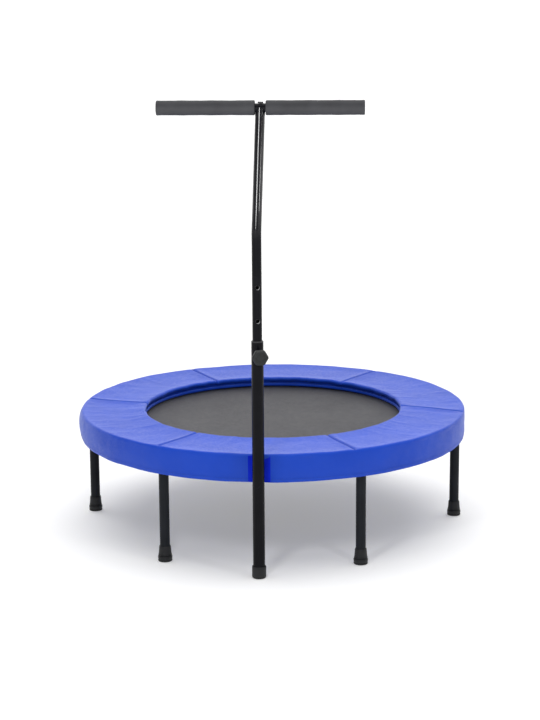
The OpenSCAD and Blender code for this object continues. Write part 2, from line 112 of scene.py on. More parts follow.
def make_camera():
    data = bpy.data.cameras.new("camera")
    data.lens = CAMERA_LENS
    data.sensor_width = 36
    data.clip_end = 2000
    camera = bpy.data.objects.new("camera", data)
    bpy.context.scene.collection.objects.link(camera)
    turn = Matrix.Rotation(math.radians(CAMERA_AZIMUTH), 4, "Z")
    place = Matrix.Translation((CAMERA_SIDE, -CAMERA_BACK, CAMERA_HEIGHT))
    tilt = Matrix.Rotation(math.radians(90 - CAMERA_PITCH), 4, "X")
    roll = Matrix.Rotation(math.radians(CAMERA_ROLL), 4, "Z")
    camera.matrix_world = turn @ place @ tilt @ roll
    bpy.context.scene.camera = camera


make_camera()

# ---- node helpers for materials ----

# the band texture's scale for about one band in a metre
BAND_SCALE = 0.3183


class Nodes:
    """A material and short calls that add and join its nodes."""

    def __init__(self, name, **shader):
        self.material = bpy.data.materials.new(name)
        self.material.use_nodes = True
        self.tree = self.material.node_tree
        self.shader = self.tree.nodes["Principled BSDF"]
        for socket, value in shader.items():
            self.shader.inputs[socket.replace("_", " ")].default_value = value

    def add(self, kind, **settings):
        node = self.tree.nodes.new("ShaderNode" + kind)
        for key, value in settings.items():
            if hasattr(node, key):
                setattr(node, key, value)
            else:
                node.inputs[key.replace("_", " ")].default_value = value
        return node

    def link(self, source, target, output=0):
        self.tree.links.new(source.outputs[output], target)

    def place(self, uv=False):
        """Coordinates in metres: the object's own, or the flat ones of a sheet."""
        coords = self.add("TexCoord")
        mapping = self.add("Mapping")
        self.tree.links.new(coords.outputs["UV" if uv else "Object"], mapping.inputs["Vector"])
        return mapping

    def noise(self, scale, detail=3.0):
        node = self.add("TexNoise", Scale=scale, Detail=detail)
        self.link(self.place(), node.inputs["Vector"])
        return node

    def bands(self, threads, where, direction):
        """Threads per metre along X or Y of a mapping."""
        node = self.add("TexWave", wave_type="BANDS", bands_direction=direction, Scale=threads * BAND_SCALE)
        self.link(where, node.inputs["Vector"])
        return node

    def math(self, operation, a, b):
        node = self.add("Math", operation=operation)
        for socket, value in zip(node.inputs, (a, b)):
            if isinstance(value, (int, float)):
                socket.default_value = value
            else:
                self.link(value, socket)
        return node

    def ramp(self, source, stops):
        """Colours (r, g, b) or grey values at places from 0 to 1."""
        node = self.add("ValToRGB")
        elements = node.color_ramp.elements
        for k, (place, colour) in enumerate(stops):
            if isinstance(colour, (int, float)):
                colour = (colour, colour, colour)
            element = elements[k] if k < 2 else elements.new(place)
            element.position = place
            element.color = (*colour, 1)
        self.link(source, node.inputs["Fac"])
        return node

    def bump(self, height, distance, strength=1.0, after=None):
        node = self.add("Bump", Strength=strength, Distance=distance)
        self.link(height, node.inputs["Height"])
        if after:
            self.link(after, node.inputs["Normal"])
        return node

    def finish(self, colour=None, rough=None, bump=None):
        for source, name in ((colour, "Base Color"), (rough, "Roughness"), (bump, "Normal")):
            if source:
                self.link(source, self.shader.inputs[name])
        return self.material


def cloth_material(name, dark, light, threads, rough, sheen, tint, relief=0.00012):
    """Plain weave in the cloth's own flat coordinates; the tint is that of its shine."""
    n = Nodes(name, Sheen_Weight=sheen, Sheen_Roughness=0.35, Specular_IOR_Level=0.30)
    n.shader.inputs["Sheen Tint"].default_value = (*tint, 1)
    n.shader.inputs["Specular Tint"].default_value = (*tint, 1)
    flat = n.place(uv=True)
    warp = n.bands(threads, flat, "X")
    weft = n.bands(threads, flat, "Y")
    weave = n.math("MULTIPLY", warp, weft)
    cloud = n.noise(9.0, 4.0)
    tone = n.math("MULTIPLY_ADD", weave, 0.25)
    n.link(cloud, tone.inputs[2])
    colour = n.ramp(tone, [(0.25, dark), (0.85, light)])
    crease = n.noise(38.0, 2.0)
    wear = n.ramp(n.noise(140.0, 2.0), [(0.3, rough - 0.05), (0.7, rough + 0.06)])
    soft = n.bump(crease, 0.0012, 0.35)
    return n.finish(colour, wear, n.bump(weave, relief, 0.8, after=soft))


PAINT_LEVEL = 0.08


def paint_colour(n, dust, base):
    return n.ramp(dust, [(0.3, base), (0.8, tuple(c * 1.5 + 0.002 for c in base))])


def paint_material(name, base, rough):
    """Powder coat: a fine orange-peel surface with slightly uneven gloss."""
    n = Nodes(name, Coat_Weight=0.02, Coat_Roughness=0.12, Specular_IOR_Level=PAINT_LEVEL)
    dust = n.noise(16.0, 4.0)
    gloss = n.ramp(dust, [(0.3, rough - 0.05), (0.75, rough + 0.07)])
    return n.finish(paint_colour(n, dust, base), gloss, n.bump(n.noise(900.0, 2.0), 0.00003, 0.6))


BLACK = (0.0036, 0.0036, 0.0052)
# the heights over which the handle's coat comes in
GLOSS_HEIGHTS = (0.82, 0.90)


def tube_material():
    """The handle's paint, which is glossier above its bend."""
    n = Nodes("handle_paint", Coat_Roughness=0.06, Specular_IOR_Level=PAINT_LEVEL)
    parts = n.add("SeparateXYZ")
    n.link(n.place(), parts.inputs[0])
    gloss = n.add("MapRange")
    for socket, value in zip(("From Min", "From Max", "To Min", "To Max"), (*GLOSS_HEIGHTS, 0.02, 1.0)):
        gloss.inputs[socket].default_value = value
    n.link(parts, gloss.inputs["Value"], "Z")
    n.link(gloss, n.shader.inputs["Coat Weight"], "Result")
    dust = n.noise(16.0, 4.0)
    colour = n.ramp(dust, [(0.3, BLACK), (0.8, (0.007, 0.007, 0.009))])
    gloss = n.ramp(dust, [(0.3, 0.19), (0.75, 0.31)])
    return n.finish(colour, gloss, n.bump(n.noise(900.0, 2.0), 0.00001, 0.4))


def rubber_material(name, base, rough, pores=1400.0, relief=0.0001, lift=1.6):
    """Rubber, foam or moulded plastic: fine pores over a slow change of tone."""
    n = Nodes(name, Specular_IOR_Level=0.4)
    pore = n.noise(pores, 3.0)
    patch = n.noise(28.0, 3.0)
    colour = n.ramp(patch, [(0.3, base), (0.75, tuple(c * lift for c in base))])
    gloss = n.ramp(pore, [(0.3, rough - 0.06), (0.7, rough + 0.08)])
    return n.finish(colour, gloss, n.bump(pore, relief, 0.7))


def metal_material(name, base, rough):
    """Zinc-plated steel: a fine grain of tiny bumps and a faint bloom."""
    n = Nodes(name, Metallic=1.0, Specular_IOR_Level=0.5)
    bloom = n.noise(120.0, 4.0)
    colour = n.ramp(bloom, [(0.3, base), (0.75, tuple(min(1, c * 1.2) for c in base))])
    gloss = n.ramp(bloom, [(0.3, rough - 0.07), (0.7, rough + 0.1)])
    return n.finish(colour, gloss, n.bump(n.noise(2200.0, 2.0), 0.00002, 0.5))


INSERT_AXIS = tuple(next(j["axis"] for j in frame["joints"] if j["name"] == "clamp_knob_turn"))


def insert_material():
    """The threaded inserts: painted with the tube on the outside, pale zinc in the bore."""
    n = Nodes("height_inserts", Specular_IOR_Level=0.3)
    facing = n.add("VectorMath", operation="DOT_PRODUCT")
    n.link(n.add("NewGeometry"), facing.inputs[0], "Normal")
    facing.inputs[1].default_value = INSERT_AXIS
    absolute = n.add("Math", operation="ABSOLUTE")
    n.link(facing, absolute.inputs[0], "Value")
    outside = n.math("GREATER_THAN", absolute, 0.6)
    colour = n.ramp(outside, [(0.0, (0.80, 0.80, 0.82)), (1.0, (0.0030, 0.0030, 0.0042))])
    return n.finish(colour, n.ramp(n.noise(900.0), [(0.3, 0.28), (0.7, 0.38)]))


BLUE = cloth_material("cover_fabric", (0.003, 0.048, 0.49), (0.007, 0.062, 0.57), 1600, 0.42, 0.08,
                      (0.78, 0.95, 1.0))
# a darker, deeper blue for the strips beside the post: painted shade of the post on the skirt
POST_SHADE_BLUE = cloth_material("post_shade_cloth", (0.001, 0.012, 0.58), (0.002, 0.02, 0.66), 1600, 0.5, 0.05,
                            (0.3, 0.4, 1.0))
THREAD = cloth_material("thread", (0.012, 0.045, 0.33), (0.02, 0.06, 0.40), 3000, 0.6, 0.1, (0.6, 0.7, 1.0))
MAT_CLOTH = cloth_material("mat_fabric", (0.020, 0.019, 0.020), (0.042, 0.041, 0.042), 700, 0.55, 0.12,
                           (0.9, 0.9, 1.0), relief=0.00025)
WEBBING = cloth_material("webbing", (0.012, 0.012, 0.013), (0.03, 0.03, 0.032), 900, 0.6, 0.3,
                         (0.8, 0.8, 0.9), relief=0.00025)
PAINT = paint_material("black_steel", BLACK, 0.24)
HANDLE_PAINT = tube_material()
LEG_PAINT = paint_material("leg_steel", (0.011, 0.0125, 0.016), 0.34)
RUBBER = rubber_material("black_rubber", (0.0065, 0.0070, 0.0085), 0.5)
GRIP = rubber_material("grip_foam", (0.027, 0.0275, 0.031), 0.68, pores=2600.0, relief=0.00025, lift=1.35)
KNOB = rubber_material("knob_plastic", (0.0072, 0.0086, 0.0088), 0.55, pores=2200.0, relief=0.00008)
PLASTIC = rubber_material("black_plastic", (0.012, 0.012, 0.014), 0.3, pores=3000.0, relief=0.00003)
ZINC = metal_material("zinc_steel", (0.52, 0.53, 0.55), 0.3)
INSERT = insert_material()

# ---- mesh helpers ----


def add_object(name, mesh, material, body=None, replaced=()):
    piece = bpy.data.objects.new(name, mesh)
    bpy.context.scene.collection.objects.link(piece)
    mesh.materials.append(material)
    if body:
        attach(piece, body)
    if replaced:
        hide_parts(*replaced)
    return piece


def smooth(mesh, angle=35):
    """Smooth shading, with edges sharper than an angle kept crisp."""
    bm = bmesh.new()
    bm.from_mesh(mesh)
    bmesh.ops.recalc_face_normals(bm, faces=bm.faces)
    limit = math.radians(angle)
    for face in bm.faces:
        face.smooth = True
    for edge in bm.edges:
        edge.smooth = len(edge.link_faces) == 2 and edge.calc_face_angle(0) < limit
    bm.to_mesh(mesh)
    bm.free()
    return mesh


def grid_mesh(name, rows, close_rows=False, close_ring=True, caps=False, uv=None):
    """Quads between rows of points. Each row is a ring, closed or not, and the rows may close too."""
    rows = [[Vector(p) for p in row] for row in rows]
    count, width = len(rows), len(rows[0])
    verts = [p for row in rows for p in row]
    faces, flat = [], []
    for i in range(count if close_rows else count - 1):
        for j in range(width if close_ring else width - 1):
            corners = [(i, j), (i, j + 1), (i + 1, j + 1), (i + 1, j)]
            faces.append([(a % count) * width + b % width for a, b in corners])
            if uv:
                flat.append([uv(a, b) for a, b in corners])
    if caps:
        faces.append(list(range(width)))
        faces.append([(count - 1) * width + j for j in reversed(range(width))])
        if uv:
            flat += [[(p.x, p.z) for p in rows[0]], [(p.x, p.z) for p in reversed(rows[-1])]]
    mesh = bpy.data.meshes.new(name)
    mesh.from_pydata(verts, [], faces)
    if uv:
        layer = mesh.uv_layers.new(name="flat")
        layer.data.foreach_set("uv", [c for face in flat for point in face for c in point])
    return mesh


def ring_point(azimuth, r, z):
    """A point by its azimuth from the post, in degrees, its radius and its height."""
    a = math.radians(azimuth - 90)
    return Vector((r * math.cos(a), r * math.sin(a), z))


def wobble(x, y, z=0.0, size=1.0):
    return noise.noise(Vector((x, y, z))) * size


def arc_points(centre, r, start, end, steps):
    """Points of an arc in a section's (r, z) plane."""
    angles = [math.radians(start + (end - start) * k / steps) for k in range(steps + 1)]
    return [(centre[0] + r * math.cos(a), centre[1] + r * math.sin(a)) for a in angles]


def spaced(a, b, step):
    """Points from a to b, both left out, no further apart than a step."""
    count = max(1, math.ceil(math.dist(a, b) / step))
    return [tuple(a[k] + (b[k] - a[k]) * i / count for k in (0, 1)) for i in range(1, count)]


def lathe(name, profile, place, segments=64):
    """A solid of revolution about the Z of a placing matrix, from (r, z) points that start and end at r = 0
    or close on themselves."""
    rows = []
    for k in range(segments):
        turn = Matrix.Rotation(2 * math.pi * k / segments, 4, "Z")
        rows.append([place @ (turn @ Vector((r, 0, z))) for r, z in profile])
    solid = profile[0][0] < 1e-6
    mesh = grid_mesh(name, rows, close_rows=True, close_ring=not solid)
    bm = bmesh.new()
    bm.from_mesh(mesh)
    bmesh.ops.remove_doubles(bm, verts=bm.verts, dist=1e-6)
    bm.to_mesh(mesh)
    bm.free()
    return smooth(mesh)


def tube_mesh(name, path, r, sides=8, closed=False):
    """A round wire along a path of points."""
    path = [Vector(p) for p in path]
    count = len(path)
    rows, side = [], None
    for k, point in enumerate(path):
        before = path[k - 1] if closed or k else point
        after = path[(k + 1) % count] if closed or k < count - 1 else point
        along = (after - before).normalized()
        if side is None:
            side = along.orthogonal().normalized()
        side = (side - along * side.dot(along)).normalized()
        up = along.cross(side)
        rows.append([point + (side * math.cos(t) + up * math.sin(t)) * r
                     for t in (2 * math.pi * j / sides for j in range(sides))])
    return smooth(grid_mesh(name, rows, close_rows=closed, caps=not closed), 60)


def join_meshes(name, meshes):
    """One mesh that holds them all."""
    bm = bmesh.new()
    for mesh in meshes:
        bm.from_mesh(mesh)
        bpy.data.meshes.remove(mesh)
    joined = bpy.data.meshes.new(name)
    bm.to_mesh(joined)
    bm.free()
    return joined


def stitches(name, path, length=0.0035, gap=0.0015, r=0.0004):
    """Short thread capsules along a path of points, which lie on the cloth."""
    pieces = []
    walked, start = 0.0, None
    for a, b in zip(path, path[1:]):
        step = (b - a).length
        if start is None:
            start = a
            walked = 0.0
        walked += step
        if walked >= length:
            pieces.append((start, b))
            start, walked = None, 0.0
    verts, faces = [], []
    for a, b in pieces:
        along = b - a
        a, b = a + along * gap / 2 / along.length, b - along * gap / 2 / along.length
        side = along.orthogonal().normalized() * r
        up = along.normalized().cross(side)
        first = len(verts)
        for point in (a, (a + b) / 2, b):
            spread = 1.25 if point not in (a, b) else 0.6
            verts += [point + (side * x + up * y) * spread for x, y in ((1, 0), (0, 1), (-1, 0), (0, -1))]
        for ring in (0, 4):
            faces += [[first + ring + j, first + ring + (j + 1) % 4, first + ring + 4 + (j + 1) % 4,
                       first + ring + 4 + j] for j in range(4)]
        faces += [[first + 3, first + 2, first + 1, first], [first + 8, first + 9, first + 10, first + 11]]
    mesh = bpy.data.meshes.new(name)
    mesh.from_pydata(verts, [], faces)
    return smooth(mesh, 80)


# ---- the sewn cover ----

# how far each seam swings round towards the opening, in degrees
SEAM_BOWS = [0, 0, 9, 1, 0, 3]
SEAM_GAP = 0.0009
SEAM_DIP = 0.0045
INNER_R = OPEN_R - 0.001
OUTER_R = PAD_R - 0.0012
TOP_ROUND = 0.005
RIM_ROUND = 0.0065
LIP_Z = PAD_TOP - PAD_FALL - 0.011
WELT_TOP = PAD_UNDER - 0.0025
GROOVE = 0.016
SKIRT_T = 0.0042
SKIRT_STEPS = 540
SLOT_HALF = 0.0115
# the inner and outer edges of the painted shade beside the post, along the skirt
SHADE_SLOT = 0.0118
SHADE_HALF = 0.027
WELT_ROUND = 0.0022
CLOTH_T = 0.0009
HEM_STITCH_CLEAR = 0.029


def top_profile():
    """The padded top's section as a closed loop of (r, z), from the skirt to the opening's rim."""
    low = PAD_UNDER + 0.001
    outer_top, inner_top = PAD_TOP, PAD_TOP - PAD_FALL
    outer_corner = (OUTER_R - TOP_ROUND, outer_top - TOP_ROUND)
    inner_corner = (INNER_R + RIM_ROUND, inner_top - RIM_ROUND)
    points = [(OUTER_R, low + 0.004)]
    points += arc_points(outer_corner, TOP_ROUND, 0, 90, 5)
    points += spaced((outer_corner[0], outer_top), (inner_corner[0], inner_top), 0.0075)
    points += arc_points(inner_corner, RIM_ROUND, 90, 175, 8)
    points += [(INNER_R + 0.0007, LIP_Z + 0.0012), (INNER_R + 0.0022, LIP_Z), (INNER_R + 0.006, LIP_Z),
               (INNER_R + GROOVE, low)]
    points += spaced((INNER_R + GROOVE, low), (OUTER_R - 0.004, low), 0.012)
    points.append((OUTER_R - 0.003, low + 0.001))
    return points


def swell(piece, held, pressure, frames=16, cap=0.004):
    """Runs a short cloth simulation in which the piece swells, and keeps its result."""
    rest = np.array([v.co for v in piece.data.vertices])
    group = piece.vertex_groups.new(name="held")
    for index, weight in enumerate(held):
        if weight > 0:
            group.add([index], weight, "REPLACE")
    cloth = piece.modifiers.new("cloth", "CLOTH")
    settings = cloth.settings
    settings.quality = 5
    settings.mass = 0.25
    settings.use_pressure = True
    settings.uniform_pressure_force = pressure
    settings.tension_stiffness = settings.compression_stiffness = 12
    settings.shear_stiffness = 4
    settings.bending_stiffness = 0.4
    settings.shrink_min = -0.002
    settings.vertex_group_mass = "held"
    settings.effector_weights.gravity = 0
    scene = bpy.context.scene
    cloth.point_cache.frame_start, cloth.point_cache.frame_end = 1, frames
    for number in range(1, frames + 1):
        scene.frame_set(number)
    shaped = piece.evaluated_get(bpy.context.evaluated_depsgraph_get()).to_mesh()
    moved = np.array([v.co for v in shaped.vertices])
    piece.evaluated_get(bpy.context.evaluated_depsgraph_get()).to_mesh_clear()
    piece.modifiers.remove(cloth)
    piece.vertex_groups.remove(group)
    scene.frame_set(1)
    shift = moved - rest
    far = np.linalg.norm(shift, axis=1, keepdims=True)
    shift *= np.minimum(1, cap / np.maximum(far, 1e-9))
    piece.data.vertices.foreach_set("co", (rest + shift).ravel())
    piece.data.update()


def apply_modifiers(piece):
    """Replaces the piece's mesh with the one its modifiers make."""
    evaluated = piece.evaluated_get(bpy.context.evaluated_depsgraph_get())
    mesh = bpy.data.meshes.new_from_object(evaluated)
    piece.modifiers.clear()
    old = piece.data
    piece.data = mesh
    bpy.data.meshes.remove(old)


def make_top_panel(number):
    """One padded top panel between two seams."""
    profile = top_profile()
    start, end = SEAMS[number - 1], SEAMS[number]
    middle_deg = (start + end) / 2
    gap = math.degrees(SEAM_GAP / RING_R)
    edge = [0, 0.10, 0.28, 0.6]
    count = round(end - start)
    step = (end - start - 2 * gap) / count
    places = edge + list(range(1, count)) + [count - e for e in reversed(edge)]
    azimuths = [start + gap + p * step for p in places]
    middle = (PAD_UNDER + PAD_TOP) / 2
    rows = []
    for azimuth in azimuths:
        off = min(azimuth - start, end - azimuth) * math.radians(1) * RING_R
        pinch = math.exp(-off / 0.0035)
        a = math.radians(azimuth)
        cx, cy = math.cos(a), math.sin(a)
        row = []
        for r, z in profile:
            share = (r - INNER_R) / (OUTER_R - INNER_R)
            wave_in = wobble(cx * 9, cy * 9, number, 0.0032) * max(0, 1 - share * 1.1) ** 6
            ruck_in = wobble(cx * 34, cy * 34, 4.0, 0.0030) * max(0, 1 - share * 1.4) ** 8
            wave_out = wobble(cx * 7, cy * 7, 5.0, 0.0020) * max(0, share) ** 8
            dip = SEAM_DIP * pinch * (1 if z > middle else -0.3)
            height = z - dip + wobble(cx * 11, cy * 11, r * 14, 0.0008)
            height += (wave_in * 0.6 + ruck_in) * (0.4 if z > PAD_TOP - 0.006 else 1)
            height += wave_out * 0.4 * (1 if z > middle else 0)
            turn = azimuth + seam_bow(number, azimuth, share)
            row.append(ring_point(turn, r + wave_in + wave_out, height))
        rows.append(row)
    sides = [math.dist(a, b) for a, b in zip(profile, profile[1:] + profile[:1])]
    lengths = np.concatenate([[0], np.cumsum(sides)])
    mid = math.radians(middle_deg - 90)

    def flat(i, j):
        p = rows[i % len(rows)][j % len(profile)]
        across = p.x * -math.sin(mid) + p.y * math.cos(mid)
        return across, p.x * math.cos(mid) + p.y * math.sin(mid) + (lengths[j] if j >= len(profile) else 0)

    mesh = grid_mesh(f"pad_top_{number}", rows, caps=True, uv=flat)
    piece = add_object(f"pad_top_{number}", mesh, BLUE)
    held = []
    for i in range(len(rows)):
        ends = min(i, len(rows) - 1 - i)
        for r, z in profile:
            flat_part = z > PAD_TOP - PAD_FALL - 0.003 and INNER_R + 0.010 < r < OUTER_R - 0.008
            held.append(0.0 if flat_part and ends > 3 else 1.0)
    swell(piece, held, pressure=3)
    smooth(piece.data, 50)
    piece.modifiers.new("round", "SUBSURF").levels = 1
    apply_modifiers(piece)
    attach(piece, "frame")
    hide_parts(f"panel_{number}", "pad_foam")


def seam_bow(number, azimuth, share):
    """How far a panel's seams bow towards the opening, in degrees, shared out over the panel."""
    start, end = SEAMS[number - 1], SEAMS[number]
    along = (azimuth - start) / (end - start)
    first, last = SEAM_BOWS[number - 1], SEAM_BOWS[number % PANELS]
    curve = 0.5 - max(0, min(1, share))
    return ((1 - along) ** 3 * first + along ** 3 * last) * curve


def make_tops():
    for number in range(1, PANELS + 1):
        make_top_panel(number)


def skirt_point(azimuth, height_share):
    """A point of the skirt's outer face, from the hem at 0 to the top seam at 1."""
    a = math.radians(azimuth)
    x, y = math.cos(a), math.sin(a)
    belly = math.sin(math.pi * min(1, height_share * 1.05)) * 0.0012
    ripple = wobble(x * 6, y * 6, height_share * 1.2, 0.0030) * (0.4 + 0.6 * (1 - height_share))
    fine = wobble(x * 24, y * 24, height_share * 3, 0.0007)
    near = abs((azimuth + 180) % 360 - 180) * math.radians(1) * PAD_R
    press = 0.0022 * math.exp(-(near / 0.030) ** 2)
    slack = 0.0065 * max(0, math.cos(a - math.radians(262))) ** 3 * math.sin(math.pi * height_share) ** 0.8
    r = PAD_R - 0.0008 + belly + slack + ripple * 0.8 + fine - press
    drop = wobble(x * 5, y * 5, 9.0, 0.0012) * (1 - height_share)
    z = PAD_HEM + (PAD_TOP - 0.0025 - PAD_HEM) * height_share + drop
    return r, z


def make_skirt():
    """The outer side: one long band sewn to the tops, with a hem and a slot for the bracket."""
    slot = math.degrees(SLOT_HALF / PAD_R)
    turns = [slot + (360 - 2 * slot) * k / SKIRT_STEPS for k in range(SKIRT_STEPS + 1)]
    shares = [k / 11 for k in range(12)]
    rows = []
    for azimuth in turns:
        outer = [skirt_point(azimuth, s) for s in shares]
        top_r, top_z = outer[-1]
        low_r, low_z = outer[0]
        row = [(low_r - SKIRT_T / 2, low_z - 0.0008), (low_r - 0.0006, low_z - 0.0002)]
        row += outer[1:-1]
        row += [(top_r - 0.0003, top_z - 0.001), (top_r - 0.0022, top_z + 0.0008),
                (top_r - SKIRT_T, top_z - 0.001)]
        row += [(r - SKIRT_T, z) for r, z in reversed(outer[1:-1])]
        row += [(low_r - SKIRT_T + 0.0005, low_z + 0.0002)]
        rows.append([ring_point(azimuth, r, z) for r, z in row])
    around = 2 * math.pi * PAD_R / SKIRT_STEPS
    tall = PAD_TOP - PAD_HEM

    def flat(i, j):
        return i * around, j * tall / 13

    mesh = grid_mesh("pad_skirt", rows, caps=True, uv=flat)
    piece = add_object("pad_skirt", smooth(mesh, 50), BLUE, "frame")


def make_post_shade():
    """Thin darker sheets on the skirt on both sides of the post, around the slot: painted shade of the post.
    """
    for name, start, end in (("skirt_post_shade_left", -SHADE_HALF, -SHADE_SLOT),
                             ("skirt_post_shade_right", SHADE_SLOT, SHADE_HALF)):
        rows = []
        for k in range(9):
            azimuth = math.degrees((start + (end - start) * k / 8) / PAD_R)
            outer = [skirt_point(azimuth, s) for s in [0.015 + 0.965 * m / 12 for m in range(13)]]
            row = [(r + 0.0009, z) for r, z in outer] + [(r + 0.0001, z) for r, z in reversed(outer)]
            rows.append([ring_point(azimuth, r, z) for r, z in row])
        mesh = grid_mesh(name, rows, caps=True, uv=lambda i, j: (i * 0.0028, j * 0.0056))
        piece = add_object(name, smooth(mesh, 50), POST_SHADE_BLUE, "frame")


def make_welt():
    """The band at the foot of the opening, sewn over a cord, and the wall of the groove above it."""
    segments = 360
    low = HEM_HI.z + 0.0026
    top = WELT_TOP
    rows, walls = [], []
    for k in range(segments):
        a = math.radians(k)
        x, y = math.cos(a), math.sin(a)
        lean = wobble(x * 8, y * 8, 3.0, 0.0013)
        rise = wobble(x * 6, y * 6, 7.0, 0.0008)
        r_in = OPEN_R + lean
        section = arc_points((r_in + WELT_ROUND, low + WELT_ROUND), WELT_ROUND, 180, 290, 4)
        section += [(OPEN_R + 0.0075, low + 0.0005), (OPEN_R + 0.009, top - 0.003)]
        section += [(OPEN_R + 0.0085, top - 0.0006 + rise)]
        section += arc_points((r_in + WELT_ROUND, top - WELT_ROUND + rise), WELT_ROUND, 70, 180, 4)
        section += [(r_in + 0.0004, (low + top) / 2)]
        rows.append([ring_point(k, r, z) for r, z in section])
        bow = wobble(x * 10, y * 10, 2.0, 0.001)
        outer = [(INNER_R + GROOVE - 0.004, top - 0.005), (INNER_R + GROOVE - 0.0025 + bow, LIP_Z - 0.001),
                 (INNER_R + GROOVE - 0.003, LIP_Z + 0.0015)]
        walls.append([ring_point(k, r, z) for r, z in outer + [(r + 0.0012, z) for r, z in reversed(outer)]])
    step = 2 * math.pi * OPEN_R / segments
    mesh = grid_mesh("opening_welt", rows, close_rows=True, uv=lambda i, j: (i * step, j * 0.002))
    piece = add_object("opening_welt", smooth(mesh, 60), BLUE, "frame", ["pad_piping"])
    mesh = grid_mesh("opening_wall", walls, close_rows=True, uv=lambda i, j: (i * step, j * 0.004))
    piece = add_object("opening_wall", smooth(mesh, 60), BLUE, "frame")


def make_underside():
    """The cover's bottom cloth, which spans from the welt to the skirt under the foam."""
    rows = []
    segments = 240
    inner, outer = OPEN_R + 0.0074, PAD_R - 0.0062
    levels = 14
    for k in range(segments):
        azimuth = k * 360 / segments
        a = math.radians(azimuth)
        line = []
        for m in range(levels + 1):
            share = m / levels
            r = inner + (outer - inner) * share
            sink = 0.0035 * math.sin(math.pi * share) ** 2
            sink *= 0.5 + wobble(math.cos(a) * 5, math.sin(a) * 5, share * 2, 0.8)
            z = PAD_UNDER - 0.0002 - sink * (1 if r < RING_R - RING_TUBE_R - 0.02 else 0)
            if share < 0.12:
                z -= (0.12 - share) / 0.12 * (PAD_UNDER - HEM_HI.z - 0.0045)
            line.append((r, z))
        section = line + [(r, z + CLOTH_T) for r, z in reversed(line)]
        rows.append([ring_point(azimuth, r, z) for r, z in section])
    mesh = grid_mesh("cover_underside", rows, close_rows=True,
                     uv=lambda i, j: (i * 0.011, j * 0.0115))
    piece = add_object("cover_underside", smooth(mesh, 60), BLUE, "frame")


def seam_lines():
    """Lines of topstitching on both sides of each seam of the tops."""
    lines = []
    for number in range(1, PANELS + 1):
        for side in (-1, 1):
            points = []
            for k in range(160):
                r = INNER_R + 0.006 + (OUTER_R - INNER_R - 0.014) * k / 159
                share = (r - INNER_R) / (OUTER_R - INNER_R)
                off = math.degrees(side * 0.0045 / r)
                bow = SEAM_BOWS[number - 1] * (0.5 - share)
                points.append(ring_point(SEAMS[number - 1] + bow + off, r, PAD_TOP))
            lines.append(points)
    return lines


def drop_on(target, points, lift=0.0002):
    """The points moved straight down onto a mesh piece."""
    found = []
    for p in points:
        hit, place, _, _ = target.ray_cast(Vector((p.x, p.y, p.z + 0.03)), Vector((0, 0, -1)))
        if hit:
            found.append(place + Vector((0, 0, lift)))
    return found


def make_stitching():
    meshes = []
    all_lines = seam_lines()
    for number in range(1, PANELS + 1):
        lines = all_lines[2 * number - 2:2 * number]
        before = bpy.data.objects[f"pad_top_{(number - 2) % PANELS + 1}"]
        after = bpy.data.objects[f"pad_top_{number}"]
        for line, target in zip(lines, (before, after)):
            path = drop_on(target, line)
            if len(path) > 10:
                meshes.append(stitches("seam", path))
    hem = []
    for k in range(3600):
        azimuth = k / 10
        near = abs((azimuth + 180) % 360 - 180) * math.radians(1) * PAD_R
        if near < HEM_STITCH_CLEAR:
            continue
        r, z = skirt_point(azimuth, 0.13)
        hem.append(ring_point(azimuth, r + 0.0002, z))
    meshes.append(stitches("hem", hem))
    mesh = join_meshes("cover_stitching", meshes)
    add_object("cover_stitching", mesh, THREAD, "frame")


make_tops()
make_skirt()
# the painted shade of the post on the skirt, on both sides of it
make_post_shade()
make_welt()
make_underside()
bpy.context.view_layer.update()
make_stitching()

# ---- straps under the cover ----

STRAP_W = 0.020
STRAP_IN = RING_TUBE_R + 0.0009


def make_straps():
    """Elastic loops that hold the cover to the ring."""
    angles = [2 * math.pi * m / 32 for m in range(32)]
    offsets = [(k / 12 - 0.5) * STRAP_W for k in range(13)]
    for number in range(1, PANELS + 1):
        azimuth = (number - 1) * 360 / PANELS + STRAP_FIRST
        loop = [[ring_point(azimuth + math.degrees(off / RING_R), RING_R + tube_r * math.cos(t),
                            RING_Z + tube_r * math.sin(t)) for t in angles]
                for tube_r, across in ((STRAP_IN, offsets), (STRAP_IN + CLOTH_T, offsets[::-1]))
                for off in across]
        mesh = grid_mesh(f"pad_strap_{number}", loop, close_rows=True,
                         uv=lambda i, j: (i * 0.0017, j * 0.0027))
        piece = add_object(f"pad_strap_{number}", smooth(mesh, 50), WEBBING, "frame",
                           ["pad_straps"])


make_straps()

# ---- mat, hem, tabs, V-rings and springs ----

HEM_W = 0.020


